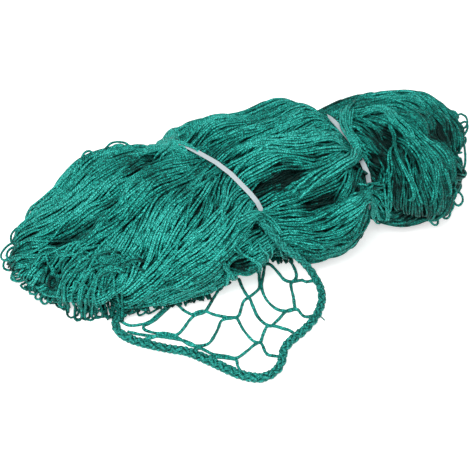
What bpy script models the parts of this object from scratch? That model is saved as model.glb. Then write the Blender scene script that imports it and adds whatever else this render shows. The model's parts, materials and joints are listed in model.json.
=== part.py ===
"""Cargo net, gathered lengthwise into a hank, bound with two flat ties and laid on a floor.

The hank rests on z = 0 with its length along X. A flap of open mesh and the rope of the net's edge lie out
in front of it, towards -Y. The tables are in millimetres and degrees, in a plan whose own middle is
PLAN_MIDDLE.
"""

import math

import bmesh
import bpy
import numpy as np
from mathutils import Vector
from mathutils.bvhtree import BVHTree
from mathutils.geometry import convex_hull_2d

MM = 0.001
GAP = 0.3  # room left between two pieces that touch

TWINE = 3.0  # diameter of the netting twine
KNOT = 5.2  # diameter of a joint in the netting
ROPE = 10.0  # diameter of the edge rope over its strands
ROPE_LAY = 36.0  # length in which a strand of the rope goes once round
TIE_WIDTH = 6.4
TIE_THICKNESS = 1.3

# The middle of the whole thing's footprint in the tables' own plan, moved to the origin at the end
PLAN_MIDDLE = (23.6, -61.7)

# Cross-sections of the hank from its left end to its right. A section's plane is upright and turned by
# `slant` from square to X, so that its far side leans to the left. `floor` is how high its lowest point
# would be if the floor didn't press it flat.
SECTION_COLUMNS = ("x", "y", "half_width", "half_height", "slant", "floor")
SECTIONS = (
    (-280, 16, 43, 18, 14, -1),
    (-233, -2, 80, 32, 18, -3),
    (-172, -19, 106, 51, 23, -4),
    (-104, -5, 130, 68, 28, -4),
    (-34, 10, 102, 62, 29, 4),
    (12, 3, 120, 72, 27, -4),
    (56, -4, 120, 74, 20, -4),
    (101, 8, 107, 77, 14, -3),
    (136, 20, 86, 59, 8, 4),
    (190, 9, 104, 65, 2, -4),
    (251, 6, 102, 62, -10, -4),
    (294, 10, 78, 46, -26, -3),
)
TIE_SECTIONS = {"tie_left": 4, "tie_right": 8}

# Bunches of netting. Each runs from section `start` to section `end`. Its place round the hank goes from
# `start_angle` to `end_angle` (0 far side, 90 top, 180 near side, 270 floor). `reach` is 1 where its outer
# side touches the section's outline. `width` and `height` are its shares of the section.
BUNCH_COLUMNS = ("start", "end", "start_angle", "end_angle", "reach", "width", "height")
BUNCHES = (
    (1.0, 4.4, 14, 20, 1.00, 0.38, 0.60),
    (0.3, 4.4, 54, 62, 1.00, 0.36, 0.48),
    (-0.2, 4.4, 100, 90, 0.98, 0.34, 0.44),
    (0.0, 4.4, 146, 118, 1.02, 0.36, 0.48),
    (0.5, 4.4, 184, 150, 1.04, 0.34, 0.50),
    (0.9, 4.4, 216, 190, 0.98, 0.36, 0.54),
    (0.3, 4.4, 270, 270, 1.00, 0.70, 0.54),
    (3.6, 8.4, 14, 20, 1.00, 0.38, 0.62),
    (3.45, 8.4, 60, 84, 1.06, 0.40, 0.46),
    (3.6, 8.4, 98, 112, 1.02, 0.34, 0.44),
    (3.6, 8.4, 130, 132, 0.90, 0.28, 0.36),
    (3.6, 8.4, 206, 146, 1.06, 0.32, 0.44),
    (3.6, 8.4, 224, 186, 1.04, 0.38, 0.50),
    (3.6, 8.4, 270, 270, 1.00, 0.70, 0.54),
    (7.6, 11.1, 270, 270, 1.00, 0.70, 0.54),
    (7.6, 11.0, 14, 15, 1.00, 0.40, 0.60),
    (7.6, 11.3, 66, 52, 1.00, 0.40, 0.48),
    (7.6, 11.4, 96, 94, 0.98, 0.34, 0.42),
    (7.6, 11.4, 112, 156, 1.07, 0.34, 0.46),
    (7.6, 11.2, 158, 200, 1.02, 0.36, 0.52),
    (7.6, 10.9, 214, 240, 0.98, 0.44, 0.52),
)
# Folds that lie loose over the ties, with the same columns
FOLDS = (
    (2.9, 5.6, 186, 212, 1.22, 0.26, 0.40),
    (7.15, 8.8, 140, 150, 1.14, 0.13, 0.20),
)
BUNCH_SIDES = 10
BUNCH_STEPS = 4  # rings for each section that a bunch passes
BUNCH_END = 0.75  # length of a bunch's rounded end, in sections
BUNCH_TUCK = 0.6  # size of a bunch's end beside a tie, as a share
TUCK_REACH = 0.6  # an end this near to a tie is tucked in under it, and any other end is free

TIE_RINGS = 44

# The rope's middle line: out of the hank beside the left tie, down its near side, round the flap and in
# again under the hank
ROPE_ROUTE = (
    (-6, -56, 72),
    (-1, -68, 81),
    (5, -81, 85),
    (12, -92, 76),
    (21, -97, 63),
    (31, -99, 51),
    (41, -101, 40),
    (50, -102, 28),
    (57, -104, 16),
    (61, -109, 8),
    (62, -119, 5.4),
    (60, -131, 5.4),
    (55, -144, 5.4),
    (47, -156, 5.4),
    (37, -167, 5.4),
    (24, -177, 5.4),
    (10, -185, 5.4),
    (-3, -192, 5.4),
    (-13, -201, 5.4),
    (-20, -214, 5.4),
    (-32, -226, 5.4),
    (-50, -230, 5.4),
    (-68, -220, 5.4),
    (-84, -202, 5.4),
    (-98, -185, 5.4),
    (-113, -169, 5.4),
    (-132, -157, 5.4),
    (-151, -144, 5.4),
    (-167, -130, 5.4),
    (-176, -115, 5.4),
    (-176, -101, 5.4),
    (-168, -88, 5.4),
    (-156, -77, 5.4),
    (-143, -68, 5.4),
)
ROPE_RINGS = 170

# Loops of twine that stand out of the hank's ends, spread like a fan about a point inside it. They go from
# the angle and height of the first to those of the last.
LOOP_COLUMNS = ("x", "y", "first_angle", "last_angle", "first_height", "last_height", "count", "reach")
LOOP_FANS = {
    "left_loops": (-215, -5, 124, 266, 12, 7, 9, 10),
    "right_loops": (262, 8, 52, -92, 72, 12, 8, 10),
}
LOOP_VARY = 1.1  # how much longer the longest loop is than the shortest, as a share of the reach
LOOP_SIDES = 4
LOOP_TURNS = (0.0, 0.02, 0.36, 0.7, 0.72, 0.86)  # places in a loop's share of the fan
LOOP_REACHES = (0.0, 0.7, 1.0, 0.7, 0.0, 0.0)  # and how far out each is

# Joints of the open mesh in plan
KNOTS = {
    "a": (-147, -111),
    "b": (-124, -136),
    "c": (-84, -116),
    "d": (-95, -165),
    "e": (-105, -95),
    "f": (-52, -134),
    "g": (-65, -192),
    "h": (-20, -112),
    "i": (-34, -179),
    "j": (3, -91),
    "k": (-11, -160),
    "l": (20, -66),
    "m": (19, -143),
    "n": (36, -101),
}
# Where its outer strands reach the rope
ROPE_ENDS = {
    "rope_a": (-170, -118),
    "rope_d": (-99, -179),
    "rope_g": (-68, -216),
    "rope_i": (-19, -209),
    "rope_k": (5, -186),
    "rope_m": (46, -163),
    "rope_n": (66, -125),
}
# Where its inner strands are under the hank
HANK_ENDS = {
    "hank_a": (-156, -74),
    "hank_e": (-123, -58),
    "hank_c": (-50, -60),
    "hank_h": (-24, -56),
    "hank_j": (5, -56),
    "hank_l": (21, -45),
    "hank_n": (48, -60),
}
# Each strand of the open mesh: its two ends and how far its middle bows to its left
STRANDS = (
    ("a", "e", -1),
    ("a", "b", -7),
    ("b", "c", 0),
    ("b", "d", 0),
    ("c", "e", 0),
    ("c", "f", -1),
    ("d", "f", 2),
    ("d", "g", -3),
    ("f", "h", -1),
    ("f", "i", -3),
    ("g", "i", -1),
    ("h", "j", -2),
    ("h", "k", -4),
    ("i", "k", 3),
    ("j", "m", -13),
    ("k", "m", -3),
    ("l", "j", -5),
    ("l", "n", -1),
    ("n", "m", 4),
    ("a", "rope_a", 3),
    ("d", "rope_d", 0),
    ("g", "rope_g", 0),
    ("i", "rope_i", -3),
    ("k", "rope_k", 2),
    ("m", "rope_m", 3),
    ("n", "rope_n", -4),
    ("a", "hank_a", 4),
    ("e", "hank_e", 2),
    ("c", "hank_c", -4),
    ("h", "hank_h", 0),
    ("j", "hank_j", 0),
    ("l", "hank_l", 0),
    ("n", "hank_n", -3),
)
STRAND_SIDES = 5
STRAND_STEPS = 4
STRAND_HEIGHT = TWINE / 2 + GAP
HANK_END_HEIGHT = 4.0


def smooth_row(table, at):
    """The table's row at a place between its rows, on a smooth curve through them."""
    rows = np.asarray(table, float)
    at = min(max(at, 0.0), len(rows) - 1.0)
    i = min(int(at), len(rows) - 2)
    t = at - i
    before = rows[i - 1] if i else 2 * rows[0] - rows[1]
    after = rows[i + 2] if i + 2 < len(rows) else 2 * rows[-1] - rows[-2]
    first, second = rows[i], rows[i + 1]
    bend = 2 * before - 5 * first + 4 * second - after
    rest = 3 * (first - second) + after - before
    return first + 0.5 * t * (second - before + t * (bend + t * rest))


def smooth_path(points, count):
    """Points spaced evenly along a smooth curve through the given ones."""
    fine = np.array([smooth_row(points, at) for at in np.linspace(0, len(points) - 1, 12 * len(points))])
    along = np.concatenate([[0], np.cumsum(np.linalg.norm(np.diff(fine, axis=0), axis=1))])
    wanted = np.linspace(0, along[-1], count)
    return np.stack([np.interp(wanted, along, fine[:, axis]) for axis in range(3)], axis=1)


def section(at):
    """The hank's cross-section at a place, as a dictionary. Past either end it moves on along X."""
    row = dict(zip(SECTION_COLUMNS, smooth_row(SECTIONS, at)))
    last = len(SECTIONS) - 1
    beyond = min(at, 0.0) + max(at - last, 0.0)
    row["x"] += beyond * (SECTIONS[last][0] - SECTIONS[last - 1][0])
    return row


def section_point(row, across, up):
    """The point at shares `across` (to the far side) and `up` of a section's half width and height."""
    slant = math.radians(row["slant"])
    side = across * row["half_width"]
    height = row["floor"] + (1 + up) * row["half_height"]
    return np.array((row["x"] - side * math.sin(slant), row["y"] + side * math.cos(slant), height))


def bunch_size(bunch, at):
    """How full a bunch is at a place: 1 along it, rounded off at a free end, smaller where it is tucked in."""
    size = 1.0
    for end in (bunch["start"], bunch["end"]):
        share = min(abs(at - end) / BUNCH_END, 1.0)
        if any(abs(end - tie) < TUCK_REACH for tie in TIE_SECTIONS.values()):
            size *= BUNCH_TUCK + (1 - BUNCH_TUCK) * share
        else:
            size *= math.sqrt(max(1 - (1 - share) ** 2, 0.0))
    return size


def bunch_ring(bunch, at, grow=0.0):
    """The ring of points round a bunch at a place along the hank, made bigger by `grow`."""
    along = (at - bunch["start"]) / (bunch["end"] - bunch["start"])
    turned = along * along * (3 - 2 * along)
    angle = math.radians(bunch["start_angle"] + (bunch["end_angle"] - bunch["start_angle"]) * turned)
    across = bunch["reach"] * (1 - bunch["width"]) * math.cos(angle)
    up = bunch["reach"] * (1 - bunch["height"]) * math.sin(angle)
    row = section(at)
    size = bunch_size(bunch, at)
    wide = bunch["width"] * size + grow / row["half_width"]
    high = bunch["height"] * size + grow / row["half_height"]
    ring = []
    for i in range(BUNCH_SIDES):
        way = 2 * math.pi * i / BUNCH_SIDES
        ring.append(section_point(row, across + wide * math.cos(way), up + high * math.sin(way)))
    return ring


def loft(name, rings, ring_closes=False):
    """A closed mesh object through rings of points. It has a face over each end, or joins end to end."""
    mesh = bmesh.new()
    loops = [[mesh.verts.new(Vector(point) * MM) for point in ring] for ring in rings]
    pairs = list(zip(loops, loops[1:]))
    if ring_closes:
        pairs.append((loops[-1], loops[0]))
    else:
        mesh.faces.new(loops[0][::-1])
        mesh.faces.new(loops[-1])
    for near, far in pairs:
        for i in range(len(near)):
            j = (i + 1) % len(near)
            mesh.faces.new((near[i], near[j], far[j], far[i]))
    bmesh.ops.recalc_face_normals(mesh, faces=mesh.faces)
    data = bpy.data.meshes.new(name)
    mesh.to_mesh(data)
    mesh.free()
    made = bpy.data.objects.new(name, data)
    bpy.context.scene.collection.objects.link(made)
    return made


def frames_along(path):
    """For each point of a path, a sideways and an upward direction square to it, turned as little as can be."""
    path = np.asarray(path, float)
    tangents = np.gradient(path, axis=0)
    tangents /= np.linalg.norm(tangents, axis=1)[:, None]
    up = np.array((0.0, 0.0, 1.0))
    frames = []
    for tangent in tangents:
        up = up - tangent * up.dot(tangent)
        up /= np.linalg.norm(up)
        frames.append((np.cross(up, tangent), up))
    return frames


def make_tube(name, path, radius, sides, turn_per_ring=0.0, ridge=0.0):
    """A tube along a path. Every other corner of its outline stands out by `ridge`, and it can twist."""
    rings = []
    for i, (point, (side, up)) in enumerate(zip(path, frames_along(path))):
        ring = []
        for k in range(sides):
            way = 2 * math.pi * k / sides + turn_per_ring * i
            reach = radius * (1 - ridge * (k % 2))
            ring.append(point + reach * (side * math.cos(way) + up * math.sin(way)))
        rings.append(ring)
    return loft(name, rings)


def as_helper(obj):
    obj.hide_render = True
    obj.display_type = "WIRE"


def join_all(name, objects):
    """The first object with the rest joined to it as one closed body."""
    parts = bpy.data.collections.new(name + "_parts")
    bpy.context.scene.collection.children.link(parts)
    first, rest = objects[0], objects[1:]
    for other in rest:
        bpy.context.scene.collection.objects.unlink(other)
        parts.objects.link(other)
        as_helper(other)
    first.name = name
    union = first.modifiers.new("join", "BOOLEAN")
    union.operation = "UNION"
    union.operand_type = "COLLECTION"
    union.collection = parts
    return first


def cut(obj, cutter, label):
    as_helper(cutter)
    step = obj.modifiers.new(label, "BOOLEAN")
    step.operation = "DIFFERENCE"
    step.object = cutter


def make_box(name, low, high):
    """A box between two corners."""
    made = loft(
        name,
        [[(x, y, z) for x, y in ((low[0], low[1]), (high[0], low[1]), (high[0], high[1]), (low[0], high[1]))]
         for z in (low[2], high[2])],
    )
    return made


def make_bundle(name, grow=0.0):
    """The gathered netting, flat where it lies on the floor."""
    bunches = [dict(zip(BUNCH_COLUMNS, row)) for row in BUNCHES + FOLDS]
    made = []
    for i, bunch in enumerate(bunches):
        steps = max(8, round((bunch["end"] - bunch["start"]) * BUNCH_STEPS))
        places = np.linspace(bunch["start"] + 0.02, bunch["end"] - 0.02, steps + 1)
        made.append(loft(f"{name}_{i}", [bunch_ring(bunch, at, grow) for at in places]))
    bundle = join_all(name, made)
    cut(bundle, make_box(f"{name}_floor", (-400, -250, -60), (450, 250, 0)), "floor")
    return bundle


def tie_outline(at):
    """The taut outline round the bunches at a tie, as evenly spaced points and outward directions."""
    row = section(at)
    slant = math.radians(row["slant"])
    across = np.array((-math.sin(slant), math.cos(slant), 0.0))
    middle = section_point(row, 0, 0)
    flat = []
    for values in BUNCHES:
        bunch = dict(zip(BUNCH_COLUMNS, values))
        if bunch["start"] < at < bunch["end"]:
            for point in bunch_ring(bunch, at):
                flat.append(((point - middle) @ across, point[2] - middle[2]))
    hull = np.array([flat[i] for i in convex_hull_2d(flat)])
    if np.cross(hull[1] - hull[0], hull[2] - hull[1]) < 0:
        hull = hull[::-1]
    closed = np.vstack([hull, hull[:1]])
    along = np.concatenate([[0], np.cumsum(np.linalg.norm(np.diff(closed, axis=0), axis=1))])
    wanted = np.linspace(0, along[-1], TIE_RINGS, endpoint=False)
    even = np.stack([np.interp(wanted, along, closed[:, axis]) for axis in range(2)], axis=1)
    ahead = np.roll(even, -1, axis=0) - np.roll(even, 1, axis=0)
    ahead /= np.linalg.norm(ahead, axis=1)[:, None]
    points = [middle + across * u + np.array((0, 0, v)) for u, v in even]
    outward = [across * v - np.array((0, 0, u)) for u, v in ahead]
    return points, outward, np.array((math.cos(slant), math.sin(slant), 0.0))


def make_tie(name, at, grow=0.0):
    """A flat band round the hank, with its edges rounded off. `grow` makes it bigger all over."""
    points, outward, along = tie_outline(at)
    half = TIE_WIDTH / 2 + grow
    edge = 0.35
    inner = 1.0 - grow
    outer = 1.0 + TIE_THICKNESS + grow
    profile = (
        (-half, inner + edge),
        (-half + edge, inner),
        (half - edge, inner),
        (half, inner + edge),
        (half, outer - edge),
        (half - edge, outer),
        (-half + edge, outer),
        (-half, outer - edge),
    )
    rings = [[point + along * u + out * v for u, v in profile] for point, out in zip(points, outward)]
    return loft(name, rings, ring_closes=True)


def make_rope(name):
    """The edge rope with its three strands standing out as ridges."""
    path = smooth_path(ROPE_ROUTE, ROPE_RINGS)
    step = np.linalg.norm(path[1] - path[0])
    turn = 2 * math.pi * step / ROPE_LAY
    return make_tube(name, path, ROPE / 2, 6, turn, 0.22)


def make_rope_room(name):
    """The space that the rope needs in the pieces beside it."""
    path = smooth_path(ROPE_ROUTE, ROPE_RINGS)
    return make_tube(name, path, ROPE / 2 + 3 * GAP, 12)


def make_knot(name, place):
    """A joint of the netting: a small rounded lump."""
    mesh = bmesh.new()
    bmesh.ops.create_icosphere(mesh, subdivisions=1, radius=KNOT / 2 * MM)
    for vert in mesh.verts:
        vert.co += Vector((place[0], place[1], KNOT / 2 + GAP)) * MM
    data = bpy.data.meshes.new(name)
    mesh.to_mesh(data)
    mesh.free()
    made = bpy.data.objects.new(name, data)
    bpy.context.scene.collection.objects.link(made)
    return made


def strand_places():
    """The two ends that a strand can have, by name: joints, points of the rope and points in the hank."""
    places = {key: np.array((x, y, STRAND_HEIGHT)) for key, (x, y) in KNOTS.items()}
    places.update({key: np.array((x, y, HANK_END_HEIGHT)) for key, (x, y) in HANK_ENDS.items()})
    rope = smooth_path(ROPE_ROUTE, ROPE_RINGS)
    for key, place in ROPE_ENDS.items():
        places[key] = rope[np.argmin(np.linalg.norm(rope[:, :2] - place, axis=1))]
    return places


def strand_path(first, last, bow):
    """A strand's middle line: a bowed curve from one end to the other, which rises in its second half."""
    run = last - first
    left = np.array((-run[1], run[0], 0.0)) / np.linalg.norm(run[:2])
    path = []
    for t in np.linspace(0, 1, STRAND_STEPS + 1):
        point = first + run * t + left * bow * 4 * t * (1 - t)
        point[2] = first[2] + (last[2] - first[2]) * max(2 * t - 1, 0.0)
        path.append(point)
    return path


def make_loose_mesh(name):
    """The open mesh of the flap, its gaps open and its joints standing out."""
    made = []
    places = strand_places()
    for start, end, bow in STRANDS:
        path = strand_path(places[start], places[end], bow)
        made.append(make_tube(f"{name}_{start}_{end}", path, TWINE / 2, STRAND_SIDES))
    for key, place in KNOTS.items():
        made.append(make_knot(f"{name}_{key}", place))
    mesh = join_all(name, made)
    cut(mesh, make_bundle("hank_room", grow=GAP + 0.1), "hank")
    cut(mesh, make_rope_room("rope_room"), "rope")
    return mesh


def make_loops(name, bundle_surface):
    """A row of loops of twine as one closed tube, which runs along the hank's surface between them."""
    fan = dict(zip(LOOP_COLUMNS, LOOP_FANS[name]))
    lift = TWINE / 2 + 2.5 * GAP
    route = []
    for i in range(fan["count"]):
        longer = 1 + LOOP_VARY * ((i * 0.618) % 1 - 0.5)
        for turn, out in zip(LOOP_TURNS, LOOP_REACHES):
            share = (i + turn * longer / (1 + LOOP_VARY / 2)) / fan["count"]
            angle = math.radians(fan["first_angle"] + (fan["last_angle"] - fan["first_angle"]) * share)
            height = fan["first_height"] + (fan["last_height"] - fan["first_height"]) * share
            away = np.array((math.cos(angle), math.sin(angle), 0.0))
            middle = np.array((fan["x"], fan["y"], height))
            seen_from = middle + away * 250
            hit, normal, _, _ = bundle_surface.ray_cast(Vector(seen_from) * MM, Vector(-away))
            point = np.array(hit) / MM + np.array(normal) * lift + away * out * longer * fan["reach"]
            point[2] = max(point[2] - out * longer * fan["reach"] / 3, TWINE / 2 + GAP)
            route.append(point)
    path = smooth_path(route, 2 * len(route))
    for point in path:
        near, normal, _, _ = bundle_surface.find_nearest(Vector(point) * MM)
        short = lift - (point - np.array(near) / MM) @ np.array(normal)
        if short > 0:
            point += np.array(normal) * short
    return make_tube(name, path, TWINE / 2, LOOP_SIDES)


def plastic_or_fibre(name, colour, roughness):
    material = bpy.data.materials.new(name)
    material.use_nodes = True
    shader = material.node_tree.nodes["Principled BSDF"]
    shader.inputs["Base Color"].default_value = (*colour, 1)
    shader.inputs["Roughness"].default_value = roughness
    shader.inputs["Metallic"].default_value = 0.0
    return material


def main():
    for obj in list(bpy.data.objects):
        bpy.data.objects.remove(obj)
    netting = plastic_or_fibre("netting", (0.012, 0.30, 0.22), 0.7)
    rope_fibre = plastic_or_fibre("rope_fibre", (0.012, 0.26, 0.20), 0.7)
    tie_plastic = plastic_or_fibre("tie_plastic", (0.75, 0.75, 0.74), 0.4)

    bundle = make_bundle("net_bundle")
    bundle.data.materials.append(netting)
    for name, at in TIE_SECTIONS.items():
        tie = make_tie(name, at)
        tie.data.materials.append(tie_plastic)
        cut(bundle, make_tie(f"{name}_room", at, grow=GAP), name)
    rope = make_rope("border_rope")
    rope.data.materials.append(rope_fibre)
    cut(bundle, make_rope_room("rope_tunnel"), "rope")
    mesh = make_loose_mesh("loose_mesh")
    mesh.data.materials.append(netting)
    surface = BVHTree.FromObject(bundle, bpy.context.evaluated_depsgraph_get())
    for name in LOOP_FANS:
        loops = make_loops(name, surface)
        loops.data.materials.append(netting)

    middle = bpy.data.objects.new("net", None)
    middle.location = (-PLAN_MIDDLE[0] * MM, -PLAN_MIDDLE[1] * MM, 0)
    bpy.context.scene.collection.objects.link(middle)
    for obj in list(bpy.data.objects):
        if obj.type == "MESH":
            obj.parent = middle


main()
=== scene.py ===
"""Looks of a cargo net that is gathered lengthwise into a hank, bound with two flat ties and laid on a floor.

The tables are in millimetres and degrees, in a plan whose own middle is PLAN_MIDDLE, as in the solids.
A point on the hank is given by its cross-section's number (`at`, from 0 at the left end to 11 at the right)
and by the angle round that section (`round`: 0 far side, 90 top, 180 near side, 270 floor).
"""

import itertools
import json
import math
from collections import namedtuple

import bpy
import numpy as np
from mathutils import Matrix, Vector
from mathutils.bvhtree import BVHTree
from mathutils.kdtree import KDTree

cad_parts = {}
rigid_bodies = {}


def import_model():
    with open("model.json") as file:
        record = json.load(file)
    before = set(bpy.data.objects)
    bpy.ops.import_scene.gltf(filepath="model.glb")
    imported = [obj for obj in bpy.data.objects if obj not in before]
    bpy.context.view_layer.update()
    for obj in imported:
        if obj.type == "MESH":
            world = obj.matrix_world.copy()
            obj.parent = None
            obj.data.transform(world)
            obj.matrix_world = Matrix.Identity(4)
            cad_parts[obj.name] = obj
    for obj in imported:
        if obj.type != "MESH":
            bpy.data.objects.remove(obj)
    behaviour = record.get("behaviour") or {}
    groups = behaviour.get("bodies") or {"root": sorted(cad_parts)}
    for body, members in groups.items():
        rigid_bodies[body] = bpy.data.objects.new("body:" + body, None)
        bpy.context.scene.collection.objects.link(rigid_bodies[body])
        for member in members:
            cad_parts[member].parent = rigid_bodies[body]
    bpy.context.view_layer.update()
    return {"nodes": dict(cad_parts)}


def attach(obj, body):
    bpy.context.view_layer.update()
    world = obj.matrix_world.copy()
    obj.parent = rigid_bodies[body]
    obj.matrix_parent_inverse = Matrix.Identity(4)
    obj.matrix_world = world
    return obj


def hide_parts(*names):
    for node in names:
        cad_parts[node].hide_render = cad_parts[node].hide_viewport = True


MM = 0.001
PLAN_MIDDLE = np.array((23.6, -61.7, 0.0))
TWINE = 3.0  # diameter of the netting twine
ROPE = 10.0  # diameter of the edge rope
TIE_WIDTH = 6.4
TIE_SECTIONS = {"tie_left": 4, "tie_right": 8}
PACKED = 1.36  # radius of the twine where it is pulled tight in the hank
MESH = 45.0  # the netting's mesh from joint to joint
CORE_END = -264.0  # how far left the mass inside the hank reaches
CORE_DEPTH = 11.0  # how far inside the hank's surface it lies

# The camera looks at the plan's origin, on the floor under the hank
CAMERA_AZIMUTH = -19.0
CAMERA_ELEVATION = 42.0
CAMERA_DISTANCE = 1.4
CAMERA_LENS = 87.9
CAMERA_SENSOR = 36.0

# Soft lamps, in metres and watts. They point at the origin.
Lamp = namedtuple("Lamp", "name place size power")
LAMPS = (
    Lamp("key", (-0.7, -0.8, 1.5), 1.1, 38),
    Lamp("fill", (1.0, -0.8, 1.5), 0.8, 3),
)
WORLD_STRENGTH = 0.6
FLOOR_REACH = 6.0

# Cross-sections of the hank from its left end to its right
Section = namedtuple("Section", "x y half_width half_height slant floor")
SECTIONS = [Section(*row) for row in (
    (-280, 16, 43, 18, 14, -1),
    (-233, -2, 80, 32, 18, -3),
    (-172, -19, 106, 51, 23, -4),
    (-104, -5, 130, 68, 28, -4),
    (-34, 10, 102, 62, 29, 4),
    (12, 3, 120, 72, 27, -4),
    (56, -4, 120, 74, 20, -4),
    (101, 8, 107, 77, 14, -3),
    (136, 20, 86, 59, 8, 4),
    (190, 9, 104, 65, 2, -4),
    (251, 6, 102, 62, -10, -4),
    (294, 10, 78, 46, -26, -3),
)]

# How the strands run on the hank: at a place, how far they lean from the hank's length. A strand that leans
# by a small positive angle climbs to the far side as it goes right on the hank's top.
Flow = namedtuple("Flow", "at round lean")
FLOW = [Flow(*row) for row in (
    (2.8, 61, -8),
    (2.2, 64, -8),
    (1.4, 70, -8),
    (0.8, 84, 0),
    (1.9, 90, 10),
    (2.9, 99, 2),
    (3.1, 113, 15),
    (3.4, 122, 25),
    (2.2, 118, 30),
    (1.5, 130, 45),
    (1.4, 118, 55),
    (1.0, 133, 70),
    (2.2, 152, 28),
    (2.6, 155, 20),
    (2.8, 202, 15),
    (1.7, 169, 25),
    (3.1, 142, 14),
    (3.2, 159, 0),
    (5.6, 70, 5),
    (6.6, 50, 8),
    (6.1, 83, -15),
    (5.2, 82, 20),
    (5.2, 99, 17),
    (6.0, 101, -40),
    (4.4, 117, 20),
    (6.0, 116, -30),
    (6.3, 125, 0),
    (4.7, 142, 23),
    (5.8, 142, 25),
    (4.9, 161, 0),
    (4.7, 184, 5),
    (5.6, 167, 33),
    (6.2, 147, -28),
    (4.2, 173, -15),
    (8.4, 37, -15),
    (9.8, 51, -12),
    (10.2, 72, -65),
    (8.6, 77, -10),
    (8.7, 116, -65),
    (9.4, 108, -55),
    (9.5, 148, -83),
    (8.2, 163, -80),
    (8.6, 172, -90),
    (8.6, 206, 20),
    (8.0, 122, -10),
    (6.8, 158, 40),
    (10.7, 100, -80),
)]
FLOW_SPREAD = 26.0  # how far a row of the table reaches
SECTION_MM = 52  # about how far it is from one section to the next
DEGREE_MM = 1.5  # and how far a degree is round the hank

# The bunches of the hank and, as the last two rows, folds that lie on them, as in the solids. Strands of one
# bunch run alike, and dive under at its edges.
Bunch = namedtuple("Bunch", "start end start_angle end_angle reach width height")
BUNCHES = [Bunch(*row) for row in (
    (1.0, 4.4, 14, 20, 1.00, 0.38, 0.60),
    (0.3, 4.4, 54, 62, 1.00, 0.36, 0.48),
    (-0.2, 4.4, 100, 90, 0.98, 0.34, 0.44),
    (0.0, 4.4, 146, 118, 1.02, 0.36, 0.48),
    (0.5, 4.4, 184, 150, 1.04, 0.34, 0.50),
    (0.9, 4.4, 216, 190, 0.98, 0.36, 0.54),
    (0.3, 4.4, 270, 270, 1.00, 0.70, 0.54),
    (3.6, 8.4, 14, 20, 1.00, 0.38, 0.62),
    (3.45, 8.4, 60, 84, 1.06, 0.40, 0.46),
    (3.6, 8.4, 98, 112, 1.02, 0.34, 0.44),
    (3.6, 8.4, 130, 132, 0.90, 0.28, 0.36),
    (3.6, 8.4, 206, 146, 1.06, 0.32, 0.44),
    (3.6, 8.4, 224, 186, 1.04, 0.38, 0.50),
    (3.6, 8.4, 270, 270, 1.00, 0.70, 0.54),
    (7.6, 11.1, 270, 270, 1.00, 0.70, 0.54),
    (7.6, 11.0, 14, 15, 1.00, 0.40, 0.60),
    (7.6, 11.3, 66, 52, 1.00, 0.40, 0.48),
    (7.6, 11.4, 96, 94, 0.98, 0.34, 0.42),
    (7.6, 11.4, 112, 156, 1.07, 0.34, 0.46),
    (7.6, 11.2, 158, 200, 1.02, 0.36, 0.52),
    (7.6, 10.9, 214, 240, 0.98, 0.44, 0.52),
    (2.9, 5.6, 186, 212, 1.22, 0.26, 0.40),
    (7.15, 8.8, 140, 150, 1.14, 0.13, 0.20),
)]

# Layers of strands on the hank, from the outermost in. `loose` is how unevenly they lie. `light` is their
# painted light: the deeper layers are painted darker, as shade.
Layer = namedtuple("Layer", "name seed depth spacing lean longest loose light")
LAYERS = [Layer(*row) for row in (
    ("outer", 11, 1.3, 5.8, 0, 420, 1.0, 0.80),
    ("middle", 12, 3.6, 6.4, 9, 330, 1.0, 0.66),
    ("inner", 13, 6.2, 8.4, -11, 240, 1.0, 0.41),
    ("deep", 14, 9.2, 9.4, 16, 240, 1.0, 0.24),
)]

# Where the hank is dented in or bulges out: both ends of the place, its reach and how far out it goes
Dent = namedtuple("Dent", "start end reach out")
DENTS = [Dent(*row) for row in (
    ((13, -49, 107), (46, -55, 128), 8, -22),
    ((59, -80, 93), (82, -88, 107), 6, -15),
    ((120, -58, 114), (119, -87, 107), 7, -17),
    ((187, -11, 121), (181, -32, 120), 7, -12),
    ((194, -49, 118), (196, -60, 111), 5, -10),
    ((160, -37, 106), (161, -58, 100), 6, -13),
    ((256, 27, 113), (270, -2, 107), 6, -7),
    ((243, -23, 112), (276, -9, 98), 6, -9),
    ((-183, -22, 89), (-198, -22, 79), 6, -14),
    ((-229, -38, 49), (-227, -47, 46), 7, -15),
    ((-158, -7, 105), (-150, -13, 110), 6, -12),
    ((-213, -15, 70), (-225, -11, 63), 6, -12),
    ((-30, -120, 71), (-41, -120, 59), 7, -14),
    ((-183, -80, 12), (-171, -101, 40), 6, -12),
    ((-127, -114, 37), (-110, -117, 43), 5, -10),
    ((-150, -13, 110), (-183, -22, 89), 4, -8),
    ((-198, -22, 79), (-213, -15, 70), 4, -8),
    ((-150, -13, 110), (-118, 14, 124), 4, -7),
    ((-118, 14, 124), (-84, 30, 127), 4, -5),
    ((-30, 95, 110), (0, 40, 148), 14, 6),
    ((150, 78, 108), (205, 88, 116), 13, 5),
    ((-10, 110, 100), (10, 70, 140), 14, 6),
)]

# The rope's middle line, as in the solids, and how its eight strands are braided
ROPE_ROUTE = (
    (-6, -56, 72),
    (-1, -68, 81),
    (5, -81, 85),
    (12, -92, 76),
    (21, -97, 63),
    (31, -99, 51),
    (41, -101, 40),
    (50, -102, 28),
    (57, -104, 16),
    (61, -109, 8),
    (62, -119, 5.4),
    (60, -131, 5.4),
    (55, -144, 5.4),
    (47, -156, 5.4),
    (37, -167, 5.4),
    (24, -177, 5.4),
    (10, -185, 5.4),
    (-3, -192, 5.4),
    (-13, -201, 5.4),
    (-20, -214, 5.4),
    (-32, -226, 5.4),
    (-50, -230, 5.4),
    (-68, -220, 5.4),
    (-84, -202, 5.4),
    (-98, -185, 5.4),
    (-113, -169, 5.4),
    (-132, -157, 5.4),
    (-151, -144, 5.4),
    (-167, -130, 5.4),
    (-176, -115, 5.4),
    (-176, -101, 5.4),
    (-168, -88, 5.4),
    (-156, -77, 5.4),
    (-143, -68, 5.4),
)

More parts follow.
